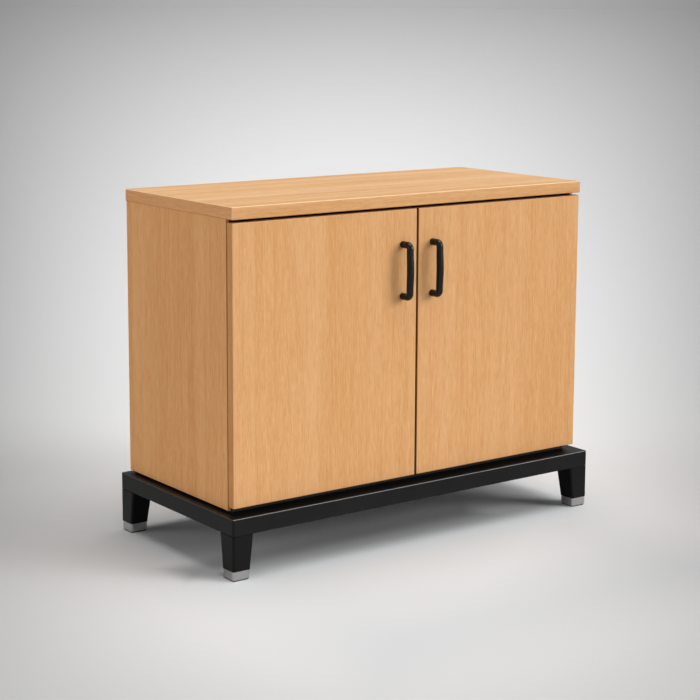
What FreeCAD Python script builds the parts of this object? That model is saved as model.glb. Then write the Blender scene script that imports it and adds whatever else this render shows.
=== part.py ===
import FreeCAD
import Part
import math
import os

# Two-door office credenza: a banded laminate cabinet on a black steel frame
# with four tapered legs.  Millimetres, +Z up, the doors face -Y.  The origin
# lies on the floor, under the middle of the overall box.

V = FreeCAD.Vector
LEFT = -1
RIGHT = 1
SIDES = {"left": LEFT, "right": RIGHT}

# ---------------------------------------------------------------- cabinet
TOP_WIDTH = 914.4
TOP_DEPTH = 414.0
TOP_THICKNESS = 25.4
OVERALL_HEIGHT = 736.6
PANEL_THICKNESS = 19.0
BACK_THICKNESS = 16.0
DOOR_THICKNESS = 19.0
EDGE_BAND = 2.0
EDGE_ROUND = 1.9
PANEL_ROUND = 0.8
TOP_OVERHANG_SIDE = 1.5
TOP_OVERHANG_BACK = 1.5
DOOR_SETBACK = 2.0
BUMPER_GAP = 3.0
DOOR_GAP = 4.8
DOOR_TOP_REVEAL = 5.7
SIDE_DROP = 9.0
DOOR_LIFT = 7.5
STRETCHER_DEPTH = 90.0

# ---------------------------------------------------------------- shelf
SHELF_CLEARANCE = 1.0
SHELF_SETBACK = 24.0
SHELF_HOLE_PITCH = 32.0
SHELF_HOLES_EACH_WAY = 2
SHELF_HOLE_SETBACK = 60.0
SHELF_HOLE_DEPTH = 10.0
SHELF_PIN_RADIUS = 2.5
SHELF_PIN_SHANK = 8.0
SHELF_TONGUE = (9.0, 11.0, 2.0)
SHELF_TONGUE_SEAT = 1.5

# ---------------------------------------------------------------- handles
HANDLE_SPACING = 108.0
HANDLE_RADIUS = 7.3
HANDLE_PROJECTION = 25.0
HANDLE_BOW = 1.4
HANDLE_MID_WIDTH = 15.0
HANDLE_MID_DEPTH = 16.2
HANDLE_ELBOW = 8.6
HANDLE_FROM_EDGE = 36.8
HANDLE_FROM_TOP = 72.7
HANDLE_SCREW_RADIUS = 2.0
HANDLE_SCREW_GRIP = 12.0
HANDLE_SCREW_HEAD = (4.0, 2.4)

# ---------------------------------------------------------------- hinges
# Places in plan are pairs: inward from the side panel's inner face, and
# forward of the carcass front.  Link ends on the cup are pairs measured from
# the cup's centre, and into the door from its back face.
HINGE_FROM_DOOR_END = 90.0
CUP_RADIUS = 17.5
CUP_DEPTH = 11.5
CUP_WALL = 1.0
CUP_FROM_EDGE = 22.5
CUP_BORE_CLEARANCE = 0.1
FLANGE_THICKNESS = 1.0
FLANGE_RIM = 0.6
EAR_SPACING = 45.0
EAR_OFFSET = 9.5
EAR_RADIUS = 6.0
OUTER_LINK_ROOT = (12.7, -13.7)
INNER_LINK_ROOT = (18.5, -2.0)
OUTER_LINK_CUP = (-12.2, 1.6)
INNER_LINK_CUP = (-9.2, 6.8)
OUTER_LINK_BOW = 7.0
INNER_LINK_BOW = 7.2
LINK_THICKNESS = 2.4
LINK_EYE = 2.3
PIN_RADIUS = 1.3
PIN_CLEARANCE = 0.06
INNER_LINK_HALF = 3.3
OUTER_LINK_LAYER = (3.9, 6.7)
ARM_LAYER = (7.6, 9.1)
ARM_INWARD = (4.0, 15.0)
ARM_WEB = 1.5
ARM_TAIL = -64.0
ARM_WEB_END = -20.0
ARM_NOSE = 3.2
FORK_TRAVEL = (-1.0, 2.5)
FORK_CLEARANCE = 0.35
PLATE_THICKNESS = 3.0
PLATE_SCREW_SETBACK = 37.0
PLATE_SCREW_SPACING = 32.0
PLATE_WING = (25.0, 7.5)
PLATE_BODY = (-60.0, -24.0)
PLATE_BOSS_HALF = 6.4
HINGE_SCREW_RADIUS = 2.0
HINGE_SCREW_LENGTH = 12.0
HINGE_SCREW_HEAD = (4.0, 1.5)
ARM_SCREW_RADIUS = 2.5
ARM_SCREW_HEAD = (4.2, 1.8)
ARM_SCREW_SETBACKS = (31.0, 53.0)
ARM_SCREW_LENGTH = 9.0

# ---------------------------------------------------------------- bumpers
BUMPER_RADIUS = 5.0
BUMPER_FROM_EDGE = 14.0

# ---------------------------------------------------------------- base
LEDGE_SIDE = 17.0
LEDGE_FRONT = 24.0
LEDGE_BACK = 6.0
RAIL_WIDTH = 60.0
RAIL_HEIGHT = 34.0
RAIL_WALL = 2.0
RAIL_CORNER = 4.5
RAIL_ARRIS = 1.5
CROSS_RAIL_WIDTH = 40.0
CROSS_RAIL_HEIGHT = 25.0
CROSS_RAIL_OFFSET = 300.0
SPACER_HEIGHT = 14.0
SPACER_SIZE = (40.0, 60.0)
SPACER_INSET = 70.0
PLINTH_SETBACK = 3.0
PLINTH_THICKNESS = 9.0
LEG_HEIGHT = 72.0
LEG_TOP = 49.0
LEG_BOTTOM = 41.0
LEG_WALL = 3.0
LEG_CROWN = 6.0
LEG_CORNER = 4.5
LEG_GROOVE = 1.6
CAP_HEIGHT = 18.0
CAP_INSET = 1.0
CAP_WALL = 1.5
CAP_CORNER = 4.0
CAP_ROUND = 1.4
PLUG_RISE = 16.0
PLUG_CLEARANCE = 0.2
GLIDE_HEIGHT = 2.0
GLIDE_INSET = 1.6
GLIDE_STEM = (4.0, 12.0)
STEM_CLEARANCE = 0.05

# ---------------------------------------------------------------- fixings
DOWEL_RADIUS = 4.0
DOWEL_LENGTH = 30.0
DOWEL_IN_SIDE = 12.0
DOWEL_FROM_END = 35.0
TOP_SCREW_RADIUS = 2.0
TOP_SCREW_RISE = 14.0
TOP_SCREW_HEAD = (4.5, 2.5)
TOP_SCREW_INSET = 60.0
BASE_BOLT_RADIUS = 3.0
BASE_BOLT_RISE = 13.0
BASE_BOLT_HEAD = (6.5, 4.0)
LEG_BOLT_RADIUS = 4.0
LEG_BOLT_HEAD = (6.5, 5.0)
LEG_BOLT_NUT = (7.0, 6.0)
BOLT_CLEARANCE = 0.3

# ---------------------------------------------------------------- derived
BODY_HALF = TOP_WIDTH / 2 - TOP_OVERHANG_SIDE
INNER_HALF = BODY_HALF - PANEL_THICKNESS
HANDLE_REACH = HANDLE_PROJECTION + HANDLE_BOW + HANDLE_MID_DEPTH / 2
FRONT_REACH = max(HANDLE_REACH - DOOR_SETBACK, LEDGE_FRONT)
OVERALL_DEPTH = FRONT_REACH + TOP_DEPTH + LEDGE_BACK
TOP_FRONT = FRONT_REACH - OVERALL_DEPTH / 2
TOP_BACK = TOP_FRONT + TOP_DEPTH
DOOR_FRONT = TOP_FRONT + DOOR_SETBACK
DOOR_BACK = DOOR_FRONT + DOOR_THICKNESS
CARCASS_FRONT = DOOR_BACK + BUMPER_GAP
CARCASS_BACK = TOP_BACK - TOP_OVERHANG_BACK
INNER_BACK = CARCASS_BACK - BACK_THICKNESS

CAP_BOTTOM = GLIDE_HEIGHT
LEG_FOOT = CAP_BOTTOM + CAP_HEIGHT
RAIL_BOTTOM = LEG_FOOT + LEG_HEIGHT
RAIL_TOP = RAIL_BOTTOM + RAIL_HEIGHT
FLOOR_UNDER = RAIL_TOP + SPACER_HEIGHT
FLOOR_OVER = FLOOR_UNDER + PANEL_THICKNESS
SIDE_BOTTOM = FLOOR_UNDER - SIDE_DROP
TOP_UNDER = OVERALL_HEIGHT - TOP_THICKNESS
STRETCHER_UNDER = TOP_UNDER - PANEL_THICKNESS
DOOR_BOTTOM = SIDE_BOTTOM + DOOR_LIFT
DOOR_TOP = TOP_UNDER - DOOR_TOP_REVEAL
DOOR_INNER_EDGE = DOOR_GAP / 2
SHELF_UNDER = (FLOOR_OVER + STRETCHER_UNDER - PANEL_THICKNESS) / 2

FRAME_HALF = TOP_WIDTH / 2 + LEDGE_SIDE
FRAME_FRONT = TOP_FRONT - LEDGE_FRONT
FRAME_BACK = TOP_BACK + LEDGE_BACK

HANDLE_X = DOOR_INNER_EDGE + HANDLE_FROM_EDGE
HANDLE_POSTS = (DOOR_TOP - HANDLE_FROM_TOP, DOOR_TOP - HANDLE_FROM_TOP - HANDLE_SPACING)
HINGE_HEIGHTS = {
    "upper": DOOR_TOP - HINGE_FROM_DOOR_END,
    "lower": DOOR_BOTTOM + HINGE_FROM_DOOR_END,
}


# ---------------------------------------------------------------- helpers
def box(x_range, y_range, z_range):
    size = [high - low for low, high in (x_range, y_range, z_range)]
    return Part.makeBox(size[0], size[1], size[2], V(x_range[0], y_range[0], z_range[0]))


def rod(radius, start, end):
    axis = end.sub(start)
    return Part.makeCylinder(radius, axis.Length, start, axis)


def upright(radius, x, y, z_range):
    return rod(radius, V(x, y, z_range[0]), V(x, y, z_range[1]))


def cut_all(shape, tools):
    return shape.cut(Part.makeCompound(tools)) if tools else shape


def fuse_all(shapes):
    return shapes[0].multiFuse(shapes[1:]).removeSplitter()


def rounded_outline(x_range, y_range, radius, z):
    """Rectangle with rounded corners, as a wire at height z."""
    x0, x1 = x_range
    y0, y1 = y_range
    corners = [(x1, y1, 0), (x0, y1, 90), (x0, y0, 180), (x1, y0, 270)]
    points = []
    for x, y, start in corners:
        centre = V(x - radius if x == x1 else x + radius, y - radius if y == y1 else y + radius, z)
        for angle in (start, start + 45, start + 90):
            turn = math.radians(angle)
            points.append(centre.add(V(radius * math.cos(turn), radius * math.sin(turn), 0)))
    edges = []
    for corner in range(4):
        first, middle, last = points[3 * corner:3 * corner + 3]
        following = points[(3 * corner + 3) % len(points)]
        edges.append(Part.Arc(first, middle, last).toShape())
        edges.append(Part.makeLine(last, following))
    return Part.Wire(edges)


def save(name, *shapes):
    shape = shapes[0] if len(shapes) == 1 else Part.makeCompound(list(shapes))
    shape.exportStep("parts/" + name + ".step")


def both_sides(shape):
    return [shape, shape.mirror(V(0, 0, 0), V(1, 0, 0))]


def mirrored(shape, side):
    """A shape drawn for the right-hand half, set on the given side."""
    return shape if side == RIGHT else shape.mirror(V(0, 0, 0), V(1, 0, 0))


def banded_board(x_range, y_range, z_range, thin_axis):
    """Core board and the band round its four edges, faces flush."""
    ranges = [x_range, y_range, z_range]
    outer = box(*ranges)
    outer = outer.makeFillet(EDGE_ROUND, outer.Edges)
    core_ranges = []
    slot_ranges = []
    for axis, (low, high) in enumerate(ranges):
        inset = 0 if axis == thin_axis else EDGE_BAND
        core_ranges.append((low + inset, high - inset))
        slot_ranges.append((low + inset - (EDGE_BAND if inset == 0 else 0),
                            high - inset + (EDGE_BAND if inset == 0 else 0)))
    return box(*core_ranges), outer.cut(box(*slot_ranges))


# ---------------------------------------------------------------- joinery
def dowel_places():
    """Height, depth and side-panel face of every dowel on the right-hand side."""
    floor_height = FLOOR_UNDER + PANEL_THICKNESS / 2
    stretcher_height = STRETCHER_UNDER + PANEL_THICKNESS / 2
    middle = (CARCASS_FRONT + INNER_BACK) / 2
    places = []
    for y in (CARCASS_FRONT + DOWEL_FROM_END, middle, INNER_BACK - DOWEL_FROM_END):
        places.append((y, floor_height))
    for front, back in stretcher_depths():
        for y in (front + STRETCHER_DEPTH / 4, back - STRETCHER_DEPTH / 4):
            places.append((y, stretcher_height))
    return places


def stretcher_depths():
    front = (CARCASS_FRONT + EDGE_BAND, CARCASS_FRONT + STRETCHER_DEPTH)
    back = (INNER_BACK - STRETCHER_DEPTH, INNER_BACK)
    return front, back


def dowels():
    start = INNER_HALF + DOWEL_IN_SIDE
    solids = []
    for y, z in dowel_places():
        pin = rod(DOWEL_RADIUS, V(start, y, z), V(start - DOWEL_LENGTH, y, z))
        solids.extend(both_sides(pin))
    return solids


def top_screw_places():
    places = []
    for front, back in stretcher_depths():
        for x in (-INNER_HALF + TOP_SCREW_INSET, 0, INNER_HALF - TOP_SCREW_INSET):
            places.append((x, (front + back) / 2))
    return places


def base_bolt_places():
    places = []
    for x in (-CROSS_RAIL_OFFSET, CROSS_RAIL_OFFSET):
        for y in (CARCASS_FRONT + SPACER_INSET, INNER_BACK - SPACER_INSET):
            places.append((x, y))
    return places


def leg_corners():
    """Outer corner of each leg, with the directions that point inwards."""
    return {
        "left_front": (-FRAME_HALF, FRAME_FRONT, 1, 1),
        "right_front": (FRAME_HALF, FRAME_FRONT, -1, 1),
        "left_rear": (-FRAME_HALF, FRAME_BACK, 1, -1),
        "right_rear": (FRAME_HALF, FRAME_BACK, -1, -1),
    }


def shelf_hole_places():
    columns = (CARCASS_FRONT + SHELF_HOLE_SETBACK, INNER_BACK - SHELF_HOLE_SETBACK)
    seat = SHELF_UNDER - SHELF_TONGUE_SEAT
    rows = range(-SHELF_HOLES_EACH_WAY, SHELF_HOLES_EACH_WAY + 1)
    return [(y, seat + row * SHELF_HOLE_PITCH) for y in columns for row in rows]


# ---------------------------------------------------------------- carcass
def side_panel():
    """Right-hand side panel with its shelf, dowel and hinge-plate holes."""
    panel = box((INNER_HALF, BODY_HALF), (CARCASS_FRONT + EDGE_BAND, CARCASS_BACK), (SIDE_BOTTOM, TOP_UNDER))
    arris = [edge for edge in panel.Edges if edge.BoundBox.XMin > BODY_HALF - EDGE_BAND
             and (edge.BoundBox.ZMax < SIDE_BOTTOM + EDGE_BAND or edge.BoundBox.YMin > CARCASS_BACK - EDGE_BAND)]
    panel = panel.makeFillet(PANEL_ROUND, arris)
    holes = []
    for y, z in shelf_hole_places():
        holes.append(rod(SHELF_PIN_RADIUS + PIN_CLEARANCE, V(INNER_HALF, y, z),
                         V(INNER_HALF + SHELF_HOLE_DEPTH, y, z)))
    for y, z in dowel_places():
        holes.append(rod(DOWEL_RADIUS, V(INNER_HALF, y, z), V(INNER_HALF + DOWEL_IN_SIDE, y, z)))
    for height in HINGE_HEIGHTS.values():
        for z in plate_screw_heights(height):
            start = V(INNER_HALF, CARCASS_FRONT + PLATE_SCREW_SETBACK, z)
            end = start.add(V(HINGE_SCREW_LENGTH - PLATE_THICKNESS, 0, 0))
            holes.append(rod(HINGE_SCREW_RADIUS, start, end))
    return cut_all(panel, holes)


def dowel_holes(z_range):
    start = INNER_HALF + DOWEL_IN_SIDE
    holes = []
    for y, z in dowel_places():
        if z_range[0] < z < z_range[1]:
            hole = rod(DOWEL_RADIUS, V(start, y, z), V(start - DOWEL_LENGTH, y, z))
            holes.extend(both_sides(hole))
    return holes


def bottom_panel():
    z_range = (FLOOR_UNDER, FLOOR_OVER)
    panel = box((-INNER_HALF, INNER_HALF), (CARCASS_FRONT + EDGE_BAND, INNER_BACK), z_range)
    holes = dowel_holes(z_range)
    for x, y in base_bolt_places():
        holes.append(upright(BASE_BOLT_RADIUS, x, y, (FLOOR_UNDER, FLOOR_UNDER + BASE_BOLT_RISE)))
    return cut_all(panel, holes)


def stretcher(depths):
    z_range = (STRETCHER_UNDER, TOP_UNDER)
    board = box((-INNER_HALF, INNER_HALF), depths, z_range)
    holes = dowel_holes(z_range)
    for x, y in top_screw_places():
        holes.append(upright(TOP_SCREW_RADIUS + BOLT_CLEARANCE, x, y, z_range))
    return cut_all(board, holes)


def back_panel():
    return box((-INNER_HALF, INNER_HALF), (INNER_BACK, CARCASS_BACK), (FLOOR_UNDER, TOP_UNDER))


def top_panel():
    core, band = banded_board((-TOP_WIDTH / 2, TOP_WIDTH / 2), (TOP_FRONT, TOP_BACK),
                              (TOP_UNDER, OVERALL_HEIGHT), 2)
    holes = []
    for x, y in top_screw_places():
        holes.append(upright(TOP_SCREW_RADIUS, x, y, (TOP_UNDER, TOP_UNDER + TOP_SCREW_RISE)))
    return cut_all(core, holes), band


def shelf():
    front = CARCASS_FRONT + SHELF_SETBACK
    half = INNER_HALF - SHELF_CLEARANCE
    board = box((-half, half), (front + EDGE_BAND, INNER_BACK - SHELF_CLEARANCE),
                (SHELF_UNDER, SHELF_UNDER + PANEL_THICKNESS))
    band = box((-half, half), (front, front + EDGE_BAND), (SHELF_UNDER, SHELF_UNDER + PANEL_THICKNESS))
    return board, band


def carcass_bands():
    """Bands on the front edges of the sides, the floor and the front stretcher."""
    depth = (CARCASS_FRONT, CARCASS_FRONT + EDGE_BAND)
    side = box((INNER_HALF, BODY_HALF), depth, (SIDE_BOTTOM, TOP_UNDER))
    floor = box((-INNER_HALF, INNER_HALF), depth, (FLOOR_UNDER, FLOOR_OVER))
    stretcher_band = box((-INNER_HALF, INNER_HALF), depth, (STRETCHER_UNDER, TOP_UNDER))
    return both_sides(side) + [floor, stretcher_band]


def shelf_pins():
    """Spade pins: a round shank in the side panel and a tongue under the shelf."""
    length, width, thickness = SHELF_TONGUE
    seat = SHELF_UNDER - SHELF_TONGUE_SEAT
    solids = []
    for y in (CARCASS_FRONT + SHELF_HOLE_SETBACK, INNER_BACK - SHELF_HOLE_SETBACK):
        shank = rod(SHELF_PIN_RADIUS, V(INNER_HALF + SHELF_PIN_SHANK, y, seat),
                    V(INNER_HALF - SHELF_CLEARANCE / 2, y, seat))
        blade = box((INNER_HALF - SHELF_CLEARANCE, INNER_HALF),
                    (y - width / 2, y + width / 2), (SHELF_UNDER - width, SHELF_UNDER))
        tongue = box((INNER_HALF - length, INNER_HALF),
                     (y - width / 2, y + width / 2), (SHELF_UNDER - thickness, SHELF_UNDER))
        solids.extend(both_sides(fuse_all([shank, blade, tongue])))
    return solids


def top_screws():
    radius, height = TOP_SCREW_HEAD
    solids = []
    for x, y in top_screw_places():
        shank = upright(TOP_SCREW_RADIUS, x, y, (STRETCHER_UNDER, TOP_UNDER + TOP_SCREW_RISE))
        head = upright(radius, x, y, (STRETCHER_UNDER - height, STRETCHER_UNDER))
        solids.append(fuse_all([shank, head]))
    return solids


# ---------------------------------------------------------------- doors
def cup_centre():
    return BODY_HALF - CUP_FROM_EDGE


def door():
    """Right-hand door core and band, with cup bores and screw holes."""
    core, band = banded_board((DOOR_INNER_EDGE, BODY_HALF), (DOOR_FRONT, DOOR_BACK),
                              (DOOR_BOTTOM, DOOR_TOP), 1)
    holes = []
    for z in HINGE_HEIGHTS.values():
        start = V(cup_centre(), DOOR_BACK, z)
        bottom = start.sub(V(0, CUP_DEPTH + CUP_BORE_CLEARANCE, 0))
        holes.append(rod(CUP_RADIUS + CUP_BORE_CLEARANCE, start, bottom))
        for sign in (-1, 1):
            place = V(cup_centre() - EAR_OFFSET, DOOR_BACK, z + sign * EAR_SPACING / 2)
            end = place.sub(V(0, HINGE_SCREW_LENGTH - FLANGE_THICKNESS, 0))
            holes.append(rod(HINGE_SCREW_RADIUS, place, end))
    for z in HANDLE_POSTS:
        holes.append(rod(HANDLE_SCREW_RADIUS + BOLT_CLEARANCE, V(HANDLE_X, DOOR_FRONT, z),
                         V(HANDLE_X, DOOR_BACK, z)))
    return cut_all(core, holes), band


def bumpers():
    """Soft dots at the free corners, as thick as the gap that they hold."""
    x = DOOR_INNER_EDGE + BUMPER_FROM_EDGE
    heights = (FLOOR_OVER - PANEL_THICKNESS / 2, (STRETCHER_UNDER + DOOR_TOP) / 2)
    return [rod(BUMPER_RADIUS, V(x, DOOR_BACK, z), V(x, CARCASS_FRONT, z)) for z in heights]


def oval(width, depth, y, z):
    circle = Part.Wire(Part.makeCircle(1.0))
    scale = FreeCAD.Matrix()
    scale.scale(V(width / 2, depth / 2, 1))
    outline = circle.transformGeometry(scale)
    outline.translate(V(HANDLE_X, y, z))
    return outline


def handle():
    """Bowed pull: round posts, round elbows and a grip that swells at its middle."""
    top, bottom = HANDLE_POSTS
    middle = (top + bottom) / 2
    grip_half = HANDLE_SPACING / 2 - HANDLE_ELBOW
    bar_y = DOOR_FRONT - HANDLE_PROJECTION
    sections = []
    for step in (-1, -0.5, 0, 0.5, 1):
        swell = math.cos(step * math.pi / 2) ** 2
        width = 2 * HANDLE_RADIUS + swell * (HANDLE_MID_WIDTH - 2 * HANDLE_RADIUS)
        depth = 2 * HANDLE_RADIUS + swell * (HANDLE_MID_DEPTH - 2 * HANDLE_RADIUS)
        sections.append(oval(width, depth, bar_y - swell * HANDLE_BOW, middle + step * grip_half))
    pieces = [Part.makeLoft(sections, True, False)]
    for post, inward in ((top, -1), (bottom, 1)):
        elbow_y = bar_y + HANDLE_ELBOW
        pieces.append(rod(HANDLE_RADIUS, V(HANDLE_X, DOOR_FRONT, post), V(HANDLE_X, elbow_y, post)))
        outline = Part.Face(Part.Wire(Part.makeCircle(HANDLE_RADIUS, V(HANDLE_X, elbow_y, post), V(0, 1, 0))))
        pivot = V(HANDLE_X, elbow_y, post + inward * HANDLE_ELBOW)
        pieces.append(outline.revolve(pivot, V(-inward, 0, 0), 90))
    body = fuse_all(pieces)
    for post in HANDLE_POSTS:
        start = V(HANDLE_X, DOOR_FRONT, post)
        end = start.sub(V(0, HANDLE_SCREW_GRIP, 0))
        body = body.cut(rod(HANDLE_SCREW_RADIUS, start, end))
    return body


def handle_screws():
    radius, height = HANDLE_SCREW_HEAD
    solids = []
    for z in HANDLE_POSTS:
        shank = rod(HANDLE_SCREW_RADIUS, V(HANDLE_X, DOOR_BACK, z),
                    V(HANDLE_X, DOOR_FRONT - HANDLE_SCREW_GRIP, z))
        head = rod(radius, V(HANDLE_X, DOOR_BACK, z), V(HANDLE_X, DOOR_BACK + height, z))
        solids.append(fuse_all([shank, head]))
    return solids


# ---------------------------------------------------------------- hinges
def hinge_point(inward, forward, up=0.0):
    """Plan pair of the right-hand hinge, as a point at hinge height zero."""
    return V(INNER_HALF - inward, CARCASS_FRONT - forward, up)


def cup_point(pair):
    inward, deep = pair
    return (CUP_FROM_EDGE - PANEL_THICKNESS + inward, BUMPER_GAP + deep)


def hinge_pair(layer, shape_at):
    """The same cheek above and below the hinge's middle plane."""
    low, high = layer
    return [shape_at(low, high), shape_at(-high, -low)]


def curved_link(root, tip, bow, low, high):
    """Strip bent to an arc between two eyes, its outside towards the door."""
    start = hinge_point(root[0], root[1], low)
    end = hinge_point(tip[0], tip[1], low)
    chord = end.sub(start)
    across = V(-chord.y, chord.x, 0)
    across.normalize()
    crown = start.add(end).multiply(0.5).add(V(across).multiply(-bow))
    radius = (chord.Length ** 2 / 4 + bow ** 2) / (2 * bow)
    centre = crown.add(V(across).multiply(radius))

    def offset(point, distance):
        spoke = point.sub(centre)
        return centre.add(spoke.multiply(1 + distance / radius))

    half = LINK_THICKNESS / 2
    outside = [offset(point, half) for point in (start, crown, end)]
    inside = [offset(point, -half) for point in (end, crown, start)]
    outline = Part.Wire([
        Part.Arc(*outside).toShape(),
        Part.makeLine(outside[-1], inside[0]),
        Part.Arc(*inside).toShape(),
        Part.makeLine(inside[-1], outside[0]),
    ])
    strip = Part.Face(outline).extrude(V(0, 0, high - low))
    eyes = [upright(LINK_EYE, point.x, point.y, (low, high)) for point in (start, end)]
    holes = [upright(PIN_RADIUS + PIN_CLEARANCE, point.x, point.y, (low, high)) for point in (start, end)]
    return cut_all(fuse_all([strip] + eyes), holes)


def pin_at(pair, half_height):
    point = hinge_point(*pair)
    return upright(PIN_RADIUS, point.x, point.y, (-half_height, half_height))


def outer_link():
    """Two bent cheeks, a bridge between them at the arm end, one piece."""
    def cheek(low, high):
        return curved_link(OUTER_LINK_ROOT, cup_point(OUTER_LINK_CUP), OUTER_LINK_BOW, low, high)
    return hinge_pair(OUTER_LINK_LAYER, cheek)


def inner_link():
    """Bent middle strip with its arm-end pin fixed in it."""
    strip = curved_link(INNER_LINK_ROOT, cup_point(INNER_LINK_CUP), INNER_LINK_BOW,
                        -INNER_LINK_HALF, INNER_LINK_HALF)
    point = hinge_point(*INNER_LINK_ROOT)
    pin = upright(PIN_RADIUS + PIN_CLEARANCE, point.x, point.y, (-ARM_LAYER[1], ARM_LAYER[1]))
    return strip.fuse(pin).removeSplitter()


def hinge_arm():
    """Channel arm: two cheeks with a forked nose, and a web towards the room."""
    near, far = ARM_INWARD
    outer_in, outer_out = OUTER_LINK_ROOT
    inner_in, inner_out = INNER_LINK_ROOT
    outline = [
        (near, ARM_TAIL), (far, ARM_TAIL), (far, ARM_WEB_END - 2 * ARM_NOSE),
        (inner_in + ARM_NOSE, inner_out - ARM_NOSE), (inner_in + ARM_NOSE, inner_out),
        (inner_in - ARM_NOSE, inner_out), (outer_in - ARM_NOSE, outer_out + ARM_NOSE),
        (outer_in - ARM_NOSE, outer_out), (near, outer_out - 2 * ARM_NOSE),
    ]

    def cheek(low, high):
        corners = [hinge_point(inward, forward, low) for inward, forward in outline]
        plate = Part.Face(Part.makePolygon(corners + corners[:1])).extrude(V(0, 0, high - low))
        root = hinge_point(*OUTER_LINK_ROOT)
        fork = hinge_point(*INNER_LINK_ROOT)
        shape = fuse_all([plate, upright(ARM_NOSE, root.x, root.y, (low, high)),
                          upright(ARM_NOSE, fork.x, fork.y, (low, high))])
        return cut_all(shape, [upright(PIN_RADIUS, root.x, root.y, (low, high)), fork_slot(low, high)])

    cheeks = hinge_pair(ARM_LAYER, cheek)
    web_start = hinge_point(far, ARM_TAIL)
    web_end = hinge_point(far - ARM_WEB, ARM_WEB_END)
    half = ARM_LAYER[0]
    web = box((web_start.x, web_end.x), (web_end.y, web_start.y), (-half, half))
    return cut_all(fuse_all(cheeks + [web]), arm_screw_holes())


def arm_screw_holes():
    outer_face = INNER_HALF - ARM_INWARD[1]
    holes = []
    for setback in ARM_SCREW_SETBACKS:
        start = V(outer_face, CARCASS_FRONT + setback, 0)
        holes.append(rod(ARM_SCREW_RADIUS, start, start.add(V(ARM_SCREW_LENGTH, 0, 0))))
    return holes


def arm_screws():
    """Screws that hold the arm on its plate and set the door sideways."""
    radius, height = ARM_SCREW_HEAD
    solids = []
    for shank in arm_screw_holes():
        centre = shank.BoundBox.Center
        face = V(shank.BoundBox.XMin, centre.y, centre.z)
        solids.append(fuse_all([shank, rod(radius, face.sub(V(height, 0, 0)), face)]))
    return solids


def fork_slot(low, high):
    """Open slot in the arm's nose, along the way that the link pin drifts."""
    start = hinge_point(*INNER_LINK_ROOT)
    drift = V(-FORK_TRAVEL[0], -FORK_TRAVEL[1], 0)
    end = start.add(V(drift).multiply(3))
    radius = PIN_RADIUS + PIN_CLEARANCE + FORK_CLEARANCE
    across = V(-drift.y, drift.x, 0)
    across.normalize()
    across.multiply(radius)
    corners = [start.add(across), end.add(across), end.sub(across), start.sub(across)]
    corners = [V(corner.x, corner.y, low) for corner in corners]
    slot = Part.Face(Part.makePolygon(corners + corners[:1])).extrude(V(0, 0, high - low))
    return slot.fuse(upright(radius, start.x, start.y, (low, high)))


def arm_pin():
    return pin_at(OUTER_LINK_ROOT, ARM_LAYER[1])


def hinge_cup():
    """Pressed cup with a thin rim and two ears that take its screws."""
    centre = V(cup_centre(), DOOR_BACK, 0)
    floor = centre.sub(V(0, CUP_DEPTH, 0))
    proud = centre.add(V(0, FLANGE_THICKNESS, 0))
    shell = rod(CUP_RADIUS, proud, floor)
    rim = rod(CUP_RADIUS + FLANGE_RIM, centre, proud)
    ears = []
    for sign in (-1, 1):
        ear = V(cup_centre() - EAR_OFFSET, 0, sign * EAR_SPACING / 2)
        ears.append(rod(EAR_RADIUS, V(ear.x, centre.y, ear.z), V(ear.x, proud.y, ear.z)))
        reach = sorted((0.0, ear.z))
        ears.append(box((ear.x - EAR_RADIUS, ear.x + EAR_RADIUS), (centre.y, proud.y), reach))
    body = fuse_all([shell, rim] + ears)
    hollow = rod(CUP_RADIUS - CUP_WALL, proud, floor.add(V(0, CUP_WALL, 0)))
    holes = [hollow]
    for sign in (-1, 1):
        place = V(cup_centre() - EAR_OFFSET, centre.y, sign * EAR_SPACING / 2)
        holes.append(rod(HINGE_SCREW_RADIUS, place, place.add(V(0, FLANGE_THICKNESS, 0))))
    return cut_all(body, holes), hollow


def cup_pins(hollow):
    pins = []
    for pair in (OUTER_LINK_CUP, INNER_LINK_CUP):
        pins.append(pin_at(cup_point(pair), CUP_RADIUS).common(hollow))
    return pins


def plate_screw_heights(height):
    return (height - PLATE_SCREW_SPACING / 2, height + PLATE_SCREW_SPACING / 2)


def mounting_plate():
    """Cross-shaped plate on the side panel, with the block that carries the arm."""
    half_length, half_width = PLATE_WING
    back, front = PLATE_BODY
    setback = PLATE_SCREW_SETBACK
    wing = box((INNER_HALF - PLATE_THICKNESS, INNER_HALF),
               (CARCASS_FRONT + setback - half_width, CARCASS_FRONT + setback + half_width),
               (-half_length, half_length))
    block_face = INNER_HALF - ARM_INWARD[1] + ARM_WEB
    block = box((block_face, INNER_HALF), (CARCASS_FRONT - front, CARCASS_FRONT - back),
                (-PLATE_BOSS_HALF, PLATE_BOSS_HALF))
    holes = []
    for z in plate_screw_heights(0.0):
        start = V(INNER_HALF - PLATE_THICKNESS, CARCASS_FRONT + setback, z)
        holes.append(rod(HINGE_SCREW_RADIUS, start, start.add(V(PLATE_THICKNESS, 0, 0))))
    return cut_all(fuse_all([wing, block]), holes + arm_screw_holes())


def plate_screws():
    radius, height = HINGE_SCREW_HEAD
    face = INNER_HALF - PLATE_THICKNESS
    solids = []
    for z in plate_screw_heights(0.0):
        start = V(face, CARCASS_FRONT + PLATE_SCREW_SETBACK, z)
        shank = rod(HINGE_SCREW_RADIUS, start, start.add(V(HINGE_SCREW_LENGTH, 0, 0)))
        head = rod(radius, start.sub(V(height, 0, 0)), start)
        solids.append(fuse_all([shank, head]))
    return solids


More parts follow.
